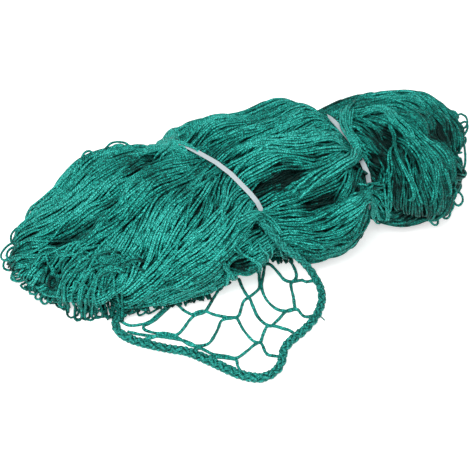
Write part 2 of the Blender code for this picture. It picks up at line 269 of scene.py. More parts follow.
ROPE_FATTEST = 330  # how far along it the rope is at its thickest
BRAID_LAY = 48.0  # length in which a strand of the rope goes once round
BRAID_STRAND = 1.75  # radius of a strand
BRAID_WEAVE = 0.9  # how far it goes in and out

# A thread that stands out of the rope
STRAY_THREAD = ((34, -166, 9), (38, -168, 10), (43, -170, 9), (46, -175, 7))

# Threads of the flap's open mesh in plan, on the floor. Where two of them meet they lie side by side.
FLAP_RADIUS = 1.9
FLAP_THREADS = (
    ((-172, -94), (-161, -106), (-147, -109), (-138, -107), (-125, -99), (-111, -91), (-102, -91),
        (-97, -104), (-90, -113), (-83, -111), (-75, -112), (-67, -121), (-53, -130), (-42, -133),
        (-35, -123), (-28, -112), (-20, -108), (-13, -105), (-4, -98), (1, -86), (6, -70), (8, -54)),
    ((-106, -90), (-112, -94), (-127, -105), (-139, -111), (-147, -113), (-147, -119), (-137, -127),
        (-126, -131), (-116, -137), (-104, -129), (-91, -117), (-83, -115), (-76, -114), (-66, -104),
        (-51, -87), (-33, -70)),
    ((-156, -134), (-137, -132), (-127, -134), (-116, -140), (-106, -156), (-95, -162), (-84, -160),
        (-69, -143), (-61, -133), (-52, -133), (-44, -136), (-43, -155), (-39, -172), (-34, -177),
        (-31, -177), (-25, -168), (-17, -158), (-12, -159), (-2, -153), (10, -144), (19, -142), (23, -142),
        (28, -126), (31, -110), (34, -102), (43, -95), (46, -83), (46, -67)),
    ((-104, -163), (-95, -166), (-86, -178), (-74, -185), (-64, -191), (-50, -185), (-36, -179),
        (-31, -179), (-31, -192), (-29, -199), (-21, -205)),
    ((-92, -179), (-82, -184), (-73, -189), (-65, -194), (-66, -202), (-65, -216)),
    ((-22, -76), (-22, -92), (-20, -108), (-19, -112), (-21, -133), (-18, -151), (-14, -157), (-7, -161),
        (0, -167), (6, -172), (10, -184)),
    ((18, -59), (12, -71), (4, -87), (-1, -99), (-2, -119), (4, -136), (15, -143), (25, -144), (27, -154),
        (33, -160), (46, -161)),
    ((12, -64), (20, -63), (25, -76), (29, -94), (35, -100), (43, -101), (49, -102), (52, -106),
        (64, -108)),
    ((-166, -115), (-149, -126), (-134, -134), (-119, -142), (-107, -151), (-97, -164), (-87, -177)),
)

# Loose strands on the hank: how many lie side by side, over what width, how far above its surface, how many
# times they twist round each other in 100 mm, and points that they pass
Loose = namedtuple("Loose", "count width lift twist points")
LOOSE = [Loose(*row) for row in (
    (8, 15, 3.5, 0.0, ((172, 70, 114), (172, 59, 116), (157, 41, 118), (147, 21, 118), (143, 5, 115),
        (144, -13, 114), (149, -24, 110), (155, -34, 104), (158, -46, 98))),
    (10, 13, 4.0, 0.35, ((160, -46, 101), (157, -38, 102), (148, -32, 104), (136, -32, 110),
        (114, -54, 124), (94, -65, 126), (74, -68, 123), (53, -69, 115), (38, -64, 103))),
    (5, 8, 3.0, 0.2, ((158, -30, 107), (163, -44, 103), (162, -58, 97), (155, -70, 93), (136, -84, 102),
        (120, -88, 112))),
    (6, 15, 4.0, 0.0, ((62, -103, 80), (77, -106, 84), (90, -107, 93), (104, -105, 98), (120, -96, 100),
        (136, -80, 90), (150, -64, 76), (160, -64, 70), (168, -70, 56), (176, -72, 40))),
    (5, 10, 4.0, 0.0, ((92, -100, 104), (116, -93, 104), (132, -78, 86), (145, -62, 66), (154, -58, 50),
        (163, -58, 32), (174, -60, 18))),
    (6, 13, 2.5, 0.0, ((158, 27, 116), (173, 33, 119), (189, 33, 120), (202, 25, 120), (203, 1, 124),
        (210, -19, 119), (208, -50, 118))),
    (2, 5, 3.0, 0.0, ((189, -15, 119), (184, -45, 116), (186, -59, 105), (189, -75, 93), (189, -88, 80),
        (182, -87, 68))),
    (2, 5, 2.5, 0.0, ((196, 4, 124), (186, -22, 120), (174, -48, 108), (164, -69, 94), (166, -76, 66),
        (173, -61, 26))),
    (1, 3, 3.0, 0.0, ((165, -46, 99), (159, -65, 95), (164, -71, 67), (172, -64, 33))),
    (1, 3, 3.0, 0.0, ((195, -42, 119), (191, -62, 106), (194, -83, 88), (199, -97, 66))),
    (2, 6, 3.0, 0.0, ((220, -67, 109), (220, -80, 94), (214, -90, 83), (208, -98, 68))),
    (2, 6, 3.0, 0.0, ((231, -73, 103), (235, -82, 88), (237, -85, 73), (229, -94, 67))),
    (1, 3, 3.0, 0.0, ((206, -20, 118), (209, -53, 117), (216, -76, 100), (214, -93, 79), (206, -99, 63))),
    (2, 4, 3.0, 0.0, ((-50, -86, 3), (-46, -117, 53), (-33, -119, 71), (-21, -111, 76), (-14, -99, 81))),
    (2, 4, 3.0, 0.0, ((-23, -77, 3), (-46, -118, 57), (-49, -118, 72))),
    (2, 4, 3.5, 0.0, ((4, -75, 3), (-11, -114, 48), (-16, -118, 65), (-29, -115, 75), (-40, -110, 88))),
    (1, 3, 3.0, 0.0, ((13, -68, 3), (-6, -109, 69), (-6, -97, 77))),
    (1, 3, 3.0, 0.0, ((20, -63, 3), (8, -100, 57), (7, -95, 71))),
    (1, 3, 3.0, 0.0, ((46, -67, 3), (27, -86, 39), (20, -92, 56))),
    (7, 13, 4.0, 0.0, ((-61, 9, 128), (-60, 30, 121), (-63, 48, 119), (-59, 67, 110), (-49, 79, 108),
        (-37, 81, 112), (-24, 78, 117))),
    (6, 13, 4.5, 0.0, ((-112, 38, 127), (-97, 41, 126), (-82, 43, 125), (-69, 45, 121), (-59, 40, 120),
        (-48, 27, 120), (-39, 11, 122))),
    (4, 10, 4.5, 0.0, ((-95, 23, 127), (-80, 31, 125), (-69, 37, 122), (-58, 50, 119), (-48, 60, 120),
        (-35, 61, 123))),
    (6, 11, 5.0, 0.0, ((-92, 60, 118), (-78, 65, 116), (-68, 73, 110), (-58, 81, 104), (-46, 89, 104),
        (-34, 91, 108))),
    (5, 11, 4.5, 0.0, ((-36, -95, 101), (-24, -88, 101), (-9, -78, 98), (0, -72, 91), (9, -69, 84),
        (18, -68, 81), (28, -70, 78), (38, -75, 76))),
    (3, 6, 5.0, 0.3, ((-14, -82, 99), (-2, -73, 94), (6, -69, 87), (15, -71, 78), (19, -80, 72),
        (24, -88, 66))),
)]

# Tries at single strands that cross the others, how high on the hank they start, and how far apart
CROSSINGS = 90
CROSSING_HEIGHT = 8
CROSSINGS_APART = 16

# Loops of twine that hang clear of the hank, as points that they pass. Both ends are inside the hank.
HANGING = (
    ((259, 40, 98), (273, 44, 95), (292, 43, 85), (303, 31, 76), (307, 14, 62), (304, -4, 48),
        (295, -18, 38), (277, -24, 32), (259, -22, 32)),
    ((273, 24, 84), (287, 32, 80), (301, 30, 75)),
    ((273, 8, 72), (289, 14, 68), (303, 17, 64)),
    ((269, -6, 58), (287, -2, 54), (301, 0, 51)),
    ((265, -14, 46), (281, -13, 44), (295, -12, 42)),
    ((230, -48, 56), (246, -56, 55), (262, -54, 47), (266, -56, 39), (258, -62, 33), (240, -56, 36)),
    ((222, -52, 44), (230, -64, 38), (239, -66, 30), (242, -68, 22), (246, -72, 16), (253, -70, 17),
        (254, -64, 25), (246, -52, 34)),
    ((212, -60, 34), (220, -74, 26), (228, -78, 16), (235, -75, 15), (235, -64, 22), (226, -54, 30)),
    ((-140, 62, 104), (-137, 74, 108), (-132, 79, 111), (-125, 82, 113), (-116, 82, 112), (-108, 78, 110),
        (-102, 62, 108)),
    ((-134, 62, 104), (-131, 74, 107), (-126, 79, 109), (-119, 80, 110), (-112, 77, 109), (-106, 62, 107)),
    ((-169, 50, 96), (-168, 63, 101), (-166, 69, 106), (-161, 75, 111), (-154, 77, 112), (-150, 73, 109),
        (-149, 56, 105)),
    ((-237, 52, 46), (-246, 52, 42), (-254, 52, 40), (-261, 48, 36), (-263, 40, 32), (-258, 37, 30),
        (-246, 40, 32)),
    ((-250, 36, 28), (-262, 42, 28), (-271, 40, 25), (-278, 34, 21), (-277, 28, 18), (-269, 27, 17),
        (-256, 30, 18)),
    ((-254, 30, 20), (-268, 31, 17), (-276, 29, 14), (-278, 21, 11), (-270, 18, 9), (-256, 22, 12)),
    ((-246, 20, 32), (-258, 32, 30), (-268, 33, 27), (-272, 26, 22), (-262, 18, 20), (-248, 16, 20)),
    ((-252, 14, 14), (-268, 14, 9), (-273, 6, 6), (-265, 2, 5), (-250, 6, 8)),
    ((-240, 34, 44), (-254, 40, 41), (-260, 36, 36), (-256, 26, 34), (-242, 22, 36)),
)

# Lines along the floor under the hank's front edge, where small crumpled loops show
TUFT_LINES = (
    ((-212, -68, 6), (-196, -78, 7), (-178, -87, 8), (-160, -91, 8), (-140, -93, 9), (-118, -97, 9),
        (-96, -95, 8), (-84, -97, 9), (-72, -100, 9), (-62, -92, 8), (-50, -87, 7), (-38, -84, 7)),
    ((2, -60, 11), (14, -60, 9), (26, -64, 7), (36, -68, 6), (45, -72, 6)),
    ((8, -52, 18), (20, -53, 15), (32, -59, 13), (42, -65, 11)),
)

# Strands that fall over the left end's front in long loops: where they start on its top, where they lie on
# the floor, and the place that the loops point away from
FALL_TOP = ((-232, -12, 58), (-216, -18, 70), (-200, -34, 74), (-187, -46, 76), (-174, -62, 82),
    (-160, -80, 80), (-148, -88, 78))
FALL_FOOT = ((-245, -9, 3), (-237, -25, 2), (-229, -42, 2), (-221, -60, 2), (-213, -74, 2), (-203, -82, 2),
    (-192, -80, 2), (-182, -82, 2))
FALL_MIDDLE = (-190, -20, 2)
FALLS = 16

# Fans of loops at the hank's ends, as seen from a point in plan, with the loops' count and usual length
Fan = namedtuple("Fan", "x y first_angle last_angle first_height last_height count reach")
LOOP_FANS = {
    "left_loops": Fan(-215, -5, 118, 262, 16, 8, 15, 9),
    "right_loops": Fan(262, 8, 52, -92, 72, 12, 12, 11),
}

# The map that the weave is drawn on: a row for each level of painted light and shade and each kind of strand,
# which repeats after so many rings. The stitches keep clear of a row's edges.
WEAVE_LEVELS = 10
WEAVE_KINDS = 4
WEAVE_ROWS = WEAVE_LEVELS * WEAVE_KINDS
WEAVE_RINGS = 16
WEAVE_EDGE = 0.06
UNEVEN = 0.06  # how much a strand's thickness and light vary from point to point, as a share

# The surface that the strands follow
VOXEL = 5.0  # size of its faces
NEIGHBOUR_REACH = 8.2  # points this near each other are neighbours
USUAL_FLOW = 0.02  # how much the bunches' own lean counts beside the table's rows
OTHER_BUNCH = 0.1  # how much a row of the table counts on other bunches than its own
FURROWS = ((1, 1.5), (5, 2.3))  # how often each kind of ridge is evened out first, and how high it is
FURROW_WIDTH = 2.2
FURROW_LENGTH = 8  # how far a ridge is drawn out along the flow in each of FURROW_ROUNDS
FURROW_ROUNDS = 70
PATCH_ROUNDS = 12  # how often random patches of painted light and shade on the yarn are evened out
PATCH_LIGHT = 0.08  # and how strong they are
RIDGE_LIGHT = 0.045  # how much lighter the yarn is painted for each millimetre that a ridge stands out, as painted light, and darker in a furrow, as painted shade
DENT_LIGHT = 0.62  # how much painted shade darkens the yarn in a deep dent
DARK_DEPTH = 15  # a dent this deep gets the most painted shade
FLOOR_LIGHT = 0.3  # how much painted shade darkens the yarn on the floor
FLOOR_FADE = 16  # and how far up that goes

# How the strands are traced over it
RING_STEP = 5.0  # from point to point
SHORTEST_LINE = 5  # a line has so many points at least
EDGE_TURN = math.cos(math.radians(32))  # a line ends where the flow turns by more, at the edge of a bunch
END_REACH = 2.5  # a strand dives under the others over so many of its last points
DIVE = 5.0  # by this far
LOOSE_DIVE = 7.0  # or by this far where it lies loose on the hank
END_SHADE = 0.4  # and is painted so much darker there, as shade

# How the strands pass the ties
TIE_REACH = 16  # strands this near a tie are drawn in by it
TIE_SLOPE = 0.45  # how steeply
UNDER_TIE = 0.3  # how far they keep from it where they pass under it
OVER_TIE = 1.7  # and from its inner side where they pass over it
OVER_FROM = 9.0  # a strand this far outside the tie's inner side, or farther, passes over the tie
LOOSE_OVER_FROM = -3.0  # and a loose one does so from a little inside it on

# How a loose strand is laid on the hank
LOOSE_STEP = 4.0  # from point to point
DEEPEST = 25  # a point up to this deep in the hank is brought out onto it
HIGHEST = 12  # and one up to this far above it is brought down
LOW = 14  # but not one this near the floor
SPREADING = 4  # a bunch of so many strands or more spreads towards its ends, which aren't all alike


def unit(rows):
    """Vectors brought to length 1."""
    rows = np.asarray(rows, float)
    return rows / np.maximum(np.linalg.norm(rows, axis=-1, keepdims=True), 1e-9)


def extended(points):
    """Points with one more at either end, straight on."""
    p = np.asarray(points, float)
    return np.vstack([2 * p[0] - p[1], p, 2 * p[-1] - p[-2]])


def between(before, first, second, after, t):
    """The place at share t from the first to the second point, on a smooth curve through all four."""
    bend = 2 * before - 5 * first + 4 * second - after
    rest = 3 * (first - second) + after - before
    return first + 0.5 * t * (second - before + t * (bend + t * rest))


def smooth_path(points, step):
    """Points about `step` apart on a smooth curve through the given ones."""
    p = extended(points)
    t = np.linspace(0, 1, 13)[:-1, None]
    fine = np.vstack([between(*four, t) for four in zip(p, p[1:], p[2:], p[3:])] + [p[-2:-1]])
    along = np.concatenate([[0], np.cumsum(np.linalg.norm(np.diff(fine, axis=0), axis=1))])
    wanted = np.linspace(0, along[-1], max(3, round(along[-1] / step) + 1))
    return np.stack([np.interp(wanted, along, column) for column in fine.T], axis=1)


def tangents(path):
    """The direction of a path at each of its points."""
    return unit(np.gradient(np.asarray(path, float), axis=0))


def sideways(path, normals):
    """For each point of a path the direction square to it and to the normal there."""
    return unit(np.cross(tangents(path), normals))


def turned_least(path):
    """For each point of a path an upward direction square to it, turned as little as can be."""
    ahead = tangents(path)
    up = np.array((0.0, 0.0, 1.0))
    if abs(ahead[0] @ up) > 0.9:
        up = np.array((0.0, 1.0, 0.0))
    ups = []
    for tangent in ahead:
        up = unit(up - tangent * (up @ tangent))
        ups.append(up)
    return np.array(ups)


def eased(share):
    """A share from 0 to 1 that starts and ends gently."""
    return share * share * (3 - 2 * share)


def wander(rng, count, knots_apart, size):
    """A smooth random curve of `count` values, about `size` high."""
    coarse = rng.normal(0, size, max(4, int(count / knots_apart) + 4))
    at = np.linspace(1, len(coarse) - 2, count)
    low = at.astype(int)
    share = eased(at - low)
    return coarse[low] * (1 - share) + coarse[np.minimum(low + 1, len(coarse) - 1)] * share


def near_ends(count, reach=END_REACH):
    """How near each of a line's points is to an end: 1 at the end, and 0 from `reach` points on."""
    from_end = np.minimum(np.arange(count), np.arange(count)[::-1])
    return np.clip(1 - from_end / reach, 0, 1)


def tree_of(points):
    """A tree that finds the points near a place."""
    tree = KDTree(len(points))
    for i, point in enumerate(points):
        tree.insert(point, i)
    tree.balance()
    return tree


def to_plan(places):
    """Places of the frame, in metres, as places of the plan."""
    return places / MM + PLAN_MIDDLE


def to_frame(places):
    """Places of the plan as places of the frame, in metres."""
    return (places - PLAN_MIDDLE) * MM


def weave_places(row, sides):
    """Where the corners of a strand's faces lie in the weave: ring by ring, and then its two ends."""
    i = np.arange(len(row) - 1)[:, None]
    k = np.arange(sides)[None]
    fill = (1 - 2 * WEAVE_EDGE) / sides
    u = (i % WEAVE_RINGS + 0 * k) / WEAVE_RINGS
    v = (row[:-1, None] + WEAVE_EDGE + fill * (k + 0 * i)) / WEAVE_ROWS
    du, dv = 1 / WEAVE_RINGS, fill / WEAVE_ROWS
    corners = np.stack([u, v, u + du, v, u + du, v + dv, u, v + dv], -1).reshape(-1, 2)
    middle = (0.5 / WEAVE_RINGS, (row[0] + 0.5) / WEAVE_ROWS)
    return np.vstack([corners, np.tile(middle, (2 * sides, 1))])


class Tubes:
    """Strands gathered into one mesh object."""

    def __init__(self, rng, sides=6):
        self.rng = rng
        self.sides = sides
        self.strands = []

    def add(self, path, ups, radius, light):
        """A strand along a path. `light`, its painted light and shade from 0 to 1, is given for all of it or
        for each point.
        """
        count = len(path)
        light = np.broadcast_to(light, count) + self.rng.normal(0, UNEVEN, count)
        level = np.clip(light * WEAVE_LEVELS, 0, WEAVE_LEVELS - 1).astype(int)
        row = level * WEAVE_KINDS + int(self.rng.integers(WEAVE_KINDS))
        lumps = 1 + np.clip(self.rng.normal(0, UNEVEN, count), -2 * UNEVEN, 2 * UNEVEN)
        self.strands.append((np.asarray(path, float), ups, radius * lumps, row))

    def build(self, name, material):
        """The mesh object of all strands, each one closed at both ends."""
        sides = self.sides
        ways = 2 * np.pi * np.arange(sides) / sides
        places, loops, counts, maps = [], [], [], []
        base = 0
        for path, ups, radius, row in self.strands:
            n = len(path)
            ahead = tangents(path)
            side = unit(np.cross(ahead, ups))
            up = np.cross(side, ahead)
            ring = side[:, None] * np.cos(ways)[:, None] + up[:, None] * np.sin(ways)[:, None]
            places.append((path[:, None] + ring * radius[:, None, None]).reshape(-1, 3))
            k = np.arange(sides)
            near = np.arange(n - 1)[:, None] * sides + k
            far = near + sides
            turn = (k + 1) % sides - k
            quads = np.stack([near, far, far + turn, near + turn], -1).reshape(-1)
            loops.append(base + np.concatenate([quads, k, (n - 1) * sides + k[::-1]]))
            counts.append(np.concatenate([np.full((n - 1) * sides, 4), [sides, sides]]))
            maps.append(weave_places(row, sides))
            base += n * sides
        return make_mesh(name, np.vstack(places), np.concatenate(loops), np.concatenate(counts), material,
                         np.vstack(maps))


def make_mesh(name, places, loops, counts, material, maps=None):
    """A smooth mesh object from its corners in the plan. `maps` are its face corners' places in the weave."""
    mesh = bpy.data.meshes.new(name)
    mesh.vertices.add(len(places))
    mesh.vertices.foreach_set("co", to_frame(places).astype(np.float32).ravel())
    mesh.loops.add(len(loops))
    mesh.loops.foreach_set("vertex_index", loops.astype(np.int32))
    mesh.polygons.add(len(counts))
    mesh.polygons.foreach_set("loop_start", np.concatenate([[0], np.cumsum(counts)[:-1]]).astype(np.int32))
    mesh.update(calc_edges=True)
    mesh.polygons.foreach_set("use_smooth", np.ones(len(counts), bool))
    if maps is not None:
        for layer in ("weave", "OFBake"):
            mesh.uv_layers.new(name=layer).data.foreach_set("uv", maps.astype(np.float32).ravel())
    mesh.materials.append(material)
    return make_object(name, mesh)


def make_object(name, data):
    """A new object in the scene."""
    made = bpy.data.objects.new(name, data)
    bpy.context.scene.collection.objects.link(made)
    return made


def finish_piece(piece, slot, *nodes):
    """Lets a piece ride with the part and stand for the nodes that are named."""
    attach(piece, "root")
    if nodes:
        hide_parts(*nodes)


# The hank's shape as its strands follow it


def section_grid():
    """Fine rows of the table of sections, and their numbers."""
    numbers = np.linspace(-1, len(SECTIONS), 261)
    table = extended(SECTIONS)
    last = len(SECTIONS) - 1
    rows = []
    for at in numbers:
        held = min(max(at, 0.0), float(last))
        i = min(int(held), last - 1)
        row = between(*table[i:i + 4], held - i)
        row[0] += (at - held) * (table[-1, 0] - table[-2, 0])
        rows.append(row)
    return numbers, np.array(rows)


def on_sections(rows, across, up):
    """Points at shares `across` and `up` of the sections' half widths and heights."""
    x, y, half_width, half_height, slant, floor = rows.T
    slant = np.radians(slant)
    side = across * half_width
    return np.stack([x - side * np.sin(slant), y + side * np.cos(slant), floor + (1 + up) * half_height], -1)


def hank_places(points):
    """Where points lie on the hank: section number, shares across and up, and the direction of its length."""
    numbers, rows = section_grid()
    slant = np.radians(rows[:, 4])
    ahead = np.stack([np.cos(slant), np.sin(slant)], -1)
    past = np.einsum("pk,sk->ps", points[:, :2], ahead) - np.einsum("sk,sk->s", rows[:, :2], ahead)
    nearest = np.argmin(np.abs(past), axis=1)
    row = rows[nearest]
    turn = slant[nearest]
    away = points - on_sections(row, 0.0, 0.0)
    across = (-away[:, 0] * np.sin(turn) + away[:, 1] * np.cos(turn)) / row[:, 2]
    up = away[:, 2] / row[:, 3]
    before = rows[np.maximum(nearest - 2, 0)]
    after = rows[np.minimum(nearest + 2, len(rows) - 1)]
    along = unit(on_sections(after, across, up) - on_sections(before, across, up))
    return numbers[nearest], across, up, along


def nearest_bunch(at, across, up):
    """The number of the bunch that each place of the hank belongs to."""
    at, across, up = (np.asarray(values, float) for values in (at, across, up))
    best = np.full(at.shape, np.inf)
    number = np.zeros(at.shape, int)
    for i, bunch in enumerate(BUNCHES):
        turned = eased(np.clip((at - bunch.start) / (bunch.end - bunch.start), 0, 1))
        angle = np.radians(bunch.start_angle + (bunch.end_angle - bunch.start_angle) * turned)
        wide = bunch.reach * (1 - bunch.width) * np.cos(angle)
        high = bunch.reach * (1 - bunch.height) * np.sin(angle)
        apart = np.hypot((across - wide) / bunch.width, (up - high) / bunch.height)
        beyond = np.maximum(bunch.start - at, 0) + np.maximum(at - bunch.end, 0)
        apart = apart + 3 * beyond
        closer = apart < best
        best[closer] = apart[closer]
        number[closer] = i
    return number


def laid_flat(vectors, normals):
    """Vectors turned into the surface that has these normals."""
    return unit(vectors - normals * np.sum(vectors * normals, axis=1)[:, None])


class Guide:
    """The surface that the strands follow, with the direction in which they run on it."""

    def __init__(self, node, rng):
        self.points, self.faces = remeshed(node)
        self.find_neighbours()
        for _ in range(2):
            self.points = 0.5 * self.points + 0.5 * self.around(self.points)
        self.find_normals()
        self.find_flow()
        ridges = self.furrows(rng)
        self.points = self.points + self.normals * ridges[:, None]
        # Painted light and shade of the yarn: lighter on ridges, darker in furrows and dents, in random
        # patches, and by place
        patches = self.spread(rng.normal(0, 1, len(self.points)), PATCH_ROUNDS)
        self.light = RIDGE_LIGHT * ridges + PATCH_LIGHT * patches / patches.std() + DENT_LIGHT * self.dent()
        self.shade()
        self.points[:, 2] = np.maximum(self.points[:, 2], 0.0)
        self.find_normals()
        self.flow = laid_flat(self.flow, self.normals)
        self.tree = BVHTree.FromPolygons(self.points.tolist(), self.faces.tolist())

    def find_neighbours(self):
        """Pairs of points near each other."""
        tree = tree_of(self.points)
        pairs = [(i, j) for i, point in enumerate(self.points)
                 for _, j, _ in tree.find_range(point, NEIGHBOUR_REACH) if i != j]
        self.first, self.second = np.array(pairs).T.copy()

    def around(self, values, weight=None):
        """The mean of each point's neighbours."""
        if values.ndim > 1:
            return np.stack([self.around(column, weight) for column in values.T], axis=1)
        if weight is None:
            weight = np.ones(len(self.first))
        total = np.bincount(self.first, weight, len(values)) + 1e-9
        return np.bincount(self.first, weight * values[self.second], len(values)) / total

    def spread(self, values, times):
        """Values evened out between neighbours, so many times."""
        for _ in range(times):
            values = self.around(values)
        return values

    def find_normals(self):
        """Directions straight out of the surface at its points."""
        a, b, c, d = (self.points[self.faces[:, k]] for k in range(4))
        face = np.cross(c - a, d - b)
        normals = np.zeros_like(self.points)
        for k in range(4):
            for axis in range(3):
                normals[:, axis] += np.bincount(self.faces[:, k], face[:, axis], len(self.points))
        self.normals = unit(normals)
        self.normals = unit(self.normals + self.around(self.normals))

    def find_flow(self):
        """The direction of the strands at each point, by the rows of the table that are near it."""
        at, across, up, along = hank_places(self.points)
        angle = np.degrees(np.arctan2(up, across)) % 360
        bunch = nearest_bunch(at, across, up)
        sums = np.zeros((len(at), 2))
        for flow in FLOW:
            turn = math.radians(flow.round)
            same = bunch == nearest_bunch([flow.at], [math.cos(turn)], [math.sin(turn)])[0]
            apart = np.hypot((at - flow.at) * SECTION_MM, (angle - flow.round) * DEGREE_MM)
            weight = np.exp(-0.5 * (apart / FLOW_SPREAD) ** 2) * np.where(same, 1.0, OTHER_BUNCH)
            twice = 2 * math.radians(flow.lean)
            sums += weight[:, None] * (math.cos(twice), math.sin(twice))
        # Beside the table's rows each bunch leans its own way, and all sway a little along the hank
        own = np.sin(bunch * 2.4)
        usual = 2 * np.radians(10 * np.sin(at * 2.1 + 1.0) + 12 * own)
        sums += USUAL_FLOW * np.stack([np.cos(usual), np.sin(usual)], -1)
        waves = np.radians(6 * own + 7 * np.sin(at * 5 + angle / 14))
        lean = 0.5 * np.arctan2(sums[:, 1], sums[:, 0]) + waves
        along = laid_flat(along, self.normals)
        across = np.cross(self.normals, along)
        self.flow = along * np.cos(lean)[:, None] + across * np.sin(lean)[:, None]

    def dent(self):
        """Presses dents into the surface and draws its bulges out. Returns how deep it is, from 0 to -1."""
        deep = np.zeros(len(self.points))
        for dent in DENTS:
            start, run = np.array(dent.start, float), np.subtract(dent.end, dent.start)
            share = np.clip((self.points - start) @ run / (run @ run), 0, 1)
            apart = np.linalg.norm(self.points - start - run * share[:, None], axis=1)
            push = dent.out * np.exp(-0.5 * (apart / dent.reach) ** 2)
            self.points = self.points + self.normals * push[:, None]
            deep += np.minimum(push, 0) / DARK_DEPTH
        return np.maximum(deep, -1)

    def furrows(self, rng):
        """Long low ridges and furrows along the flow."""
        apart = self.points[self.second] - self.points[self.first]
        along = np.abs(np.sum(apart * self.flow[self.first], axis=1))
        across = np.linalg.norm(apart, axis=1) ** 2 - along**2
        weight = np.exp(-0.5 * across / FURROW_WIDTH**2) * np.exp(-0.5 * (along / FURROW_LENGTH) ** 2)
        total = np.zeros(len(self.points))
        for spread, height in FURROWS:
            values = self.spread(rng.normal(0, 1, len(self.points)), spread)
            for _ in range(FURROW_ROUNDS):
                values = 0.4 * values + 0.6 * self.around(values, weight)
            total += height * np.clip(values / values.std(), -1.8, 1.5)
        return total

    def shade(self):
        """Paints shade on the yarn at the right end, low on the right, in the left end's hollow and a little
        all over, and light on the front left.
        """
        x, y, z = self.points.T
        right_end = np.clip((x - 100) / 90, 0, 1)
        low_right = np.clip((x + 20) / 70, 0, 1) * np.exp(-np.maximum(z, 0) / 90)
        front = np.exp(-((x + 120) ** 2 + (y + 60) ** 2) / 5000)
        hollow = np.exp(-((x + 226) ** 2 + (y + 44) ** 2 + (z - 40) ** 2) / 700)
        self.light -= 0.06 + 0.14 * right_end
        self.light -= 0.5 * low_right
        self.light += 0.11 * front
        self.light -= 0.4 * hollow

    def light_at(self, path):
        """The painted light and shade of the yarn at points near the surface, with painted shade near the
        floor.
        """
        faces = [self.tree.find_nearest(Vector(point))[2] for point in path]
        low = np.exp(-np.maximum(path[:, 2], 0) / FLOOR_FADE)
        return self.light[self.faces[faces]].mean(axis=1) - FLOOR_LIGHT * low

    def near(self, point, heading=None):
        """The surface's point, normal and flow nearest a point. The flow goes the way of `heading`."""
        place, _, face, _ = self.tree.find_nearest(Vector(point))
        corners = self.faces[face]
        place = np.array(place)
        away = self.points[corners] - place
        weight = 1 / (np.einsum("ij,ij->i", away, away) + 0.5)
        normal = unit(weight @ self.normals[corners])
        flow = self.flow[corners]
        if heading is None:
            heading = flow[0]
        flow = (weight * np.where(flow @ heading < 0, -1.0, 1.0)) @ flow
        return place, normal, unit(flow - normal * (flow @ normal))


def remeshed(node):
    """The node's shape as an even mesh of quads in the plan."""
    copy = make_object("guide", node.data.copy())
    step = copy.modifiers.new("even", "REMESH")
    step.mode = "VOXEL"
    step.voxel_size = VOXEL * MM
    made = copy.evaluated_get(bpy.context.evaluated_depsgraph_get()).to_mesh()
    points = np.zeros(3 * len(made.vertices), np.float32)
    made.vertices.foreach_get("co", points)
    points = to_plan(points.reshape(-1, 3).astype(float))
    corners = [tuple(face.vertices) for face in made.polygons]
    faces = np.array([quad if len(quad) == 4 else (*quad, quad[0]) for quad in corners])
    bpy.data.objects.remove(copy)
    return points, faces


class Room:
    """Points taken so far, to keep strands of one layer apart."""

    def __init__(self, size):
        self.size = size
        self.cells = {}

    def cell(self, point):
        """The cell of space that a point lies in."""
        return tuple(int(math.floor(c / self.size)) for c in point)

    def add(self, point, owner):
        """Takes a point."""
        self.cells.setdefault(self.cell(point), []).append((*point, owner))

    def taken(self, point, reach, owner=None):
        """Whether a point of another owner lies within reach."""
        x, y, z = point
        limit = reach * reach
        for cell in itertools.product(*((c - 1, c, c + 1) for c in self.cell(point))):
            for px, py, pz, other in self.cells.get(cell, ()):
                if other != owner and (px - x) ** 2 + (py - y) ** 2 + (pz - z) ** 2 < limit:
                    return True
        return False


def turn_about(vector, axis, angle):
    """A vector turned about an axis that is square to it."""
    return vector * math.cos(angle) + np.cross(axis, vector) * math.sin(angle)


def trace(guide, room, start, heading, lean, longest, reach, owner):
    """Points and normals of a line that follows the flow from a start, until it comes too near another."""
    points, normals = [], []
    place, normal, flow = guide.near(start, heading)
    ahead = turn_about(flow, normal, lean)
    length = 0.0
    while length < longest:
        following, turned, flow = guide.near(place + ahead * RING_STEP, ahead)
        size = np.linalg.norm(following - place)
        if size < 0.5 * RING_STEP or room.taken(following, reach, owner):
            break
        wish = turn_about(flow, turned, lean)
        if wish @ ahead < EDGE_TURN:
            break
        ahead = unit(0.55 * ahead + 0.45 * wish)
        ahead = unit(ahead - turned * (ahead @ turned))
        place = following
        points.append(place)
        normals.append(turned)
        length += size
    return points, normals


def trace_both_ways(guide, room, seed, lean, longest, reach, owner):
    """Points and normals of a line that follows the flow both ways from a seed."""
    place, normal, flow = guide.near(seed)
    ahead, ahead_normals = trace(guide, room, seed, flow, lean, longest, reach, owner)
    behind, behind_normals = trace(guide, room, seed, -flow, lean, longest, reach, owner)
    return (np.array(behind[::-1] + [place] + ahead),
            np.array(behind_normals[::-1] + [normal] + ahead_normals))


def layer_lines(guide, layer):
    """Lines that follow the flow all over the hank, about evenly apart."""
    rng = np.random.default_rng(layer.seed)
    room = Room(layer.spacing)
    order = rng.permutation(len(guide.points))
    waiting = [guide.points[i] for i in order[: len(order) // 2]][::-1]
    lines = []
    owner = 0
    while waiting:
        seed = waiting.pop()
        if room.taken(seed, 0.96 * layer.spacing):
            continue
        place, normal, _ = guide.near(seed)
        on_floor = normal[2] < -0.8 and place[2] < 4
        if on_floor and layer.depth > 2:
            continue
        owner += 1
        longest = layer.longest * rng.uniform(0.3, 0.7)
        reach = layer.spacing * rng.uniform(0.55, 0.8)
        lean = math.radians(layer.lean + 2.5 * layer.loose * rng.normal())
        line, normals = trace_both_ways(guide, room, seed, lean, longest, reach, owner)
        if len(line) < SHORTEST_LINE:
            continue
        for point in line:
            room.add(point, owner)
        lines.append((line, normals))
        sides = sideways(line, normals)
        for i in rng.permutation(len(line))[: len(line) // 3]:
            for way in (-1, 1):
                waiting.append(line[i] + way * sides[i] * layer.spacing * 1.02)
    return lines


